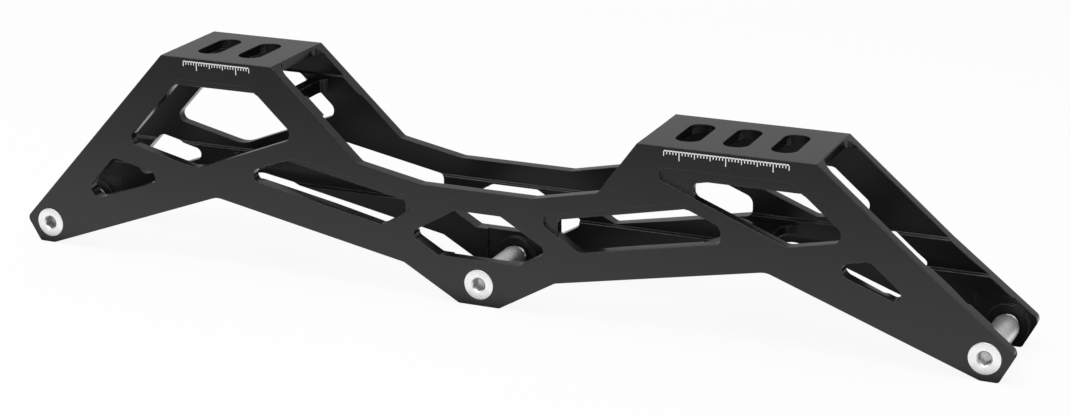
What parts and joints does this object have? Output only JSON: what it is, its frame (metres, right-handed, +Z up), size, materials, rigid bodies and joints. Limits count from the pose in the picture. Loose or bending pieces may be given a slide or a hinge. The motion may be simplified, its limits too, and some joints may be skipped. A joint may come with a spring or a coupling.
{
  "type": "inline skate frame",
  "caption": "Black machined inline skate frame with truss side walls, a raised slotted heel deck, a lower slotted toe deck, and screw-in steel wheel axles that slide out sideways.",
  "frame": {"origin": "on the middle axle's vertical line and the frame's middle plane, at the height of the lowest edge", "axes": "+X from heel to toe, +Y from the axle-head side to the threaded side, +Z up towards the boot"},
  "size_m": [0.3373, 0.0332, 0.0703],
  "materials": {
    "black_anodised": "satin black anodised, fine milling marks",
    "axle_steel": "turned, bright",
    "thread_lock_blue": "dry matt film"
  },
  "bodies": {
    "frame": {"frame_body": "black_anodised"},
    "heel_axle": {"heel_axle": "axle_steel", "heel_thread_lock": "thread_lock_blue"},
    "middle_axle": {"middle_axle": "axle_steel", "middle_thread_lock": "thread_lock_blue"},
    "toe_axle": {"toe_axle": "axle_steel", "toe_thread_lock": "thread_lock_blue"}
  },
  "joints": [
    {"name": "heel_axle_slide", "type": "slide", "parent": "frame", "child": "heel_axle", "axis": [0, -1, 0], "range_m": [0, 0.04]},
    {"name": "middle_axle_slide", "type": "slide", "parent": "frame", "child": "middle_axle", "axis": [0, -1, 0], "range_m": [0, 0.04]},
    {"name": "toe_axle_slide", "type": "slide", "parent": "frame", "child": "toe_axle", "axis": [0, -1, 0], "range_m": [0, 0.04]}
  ]
}
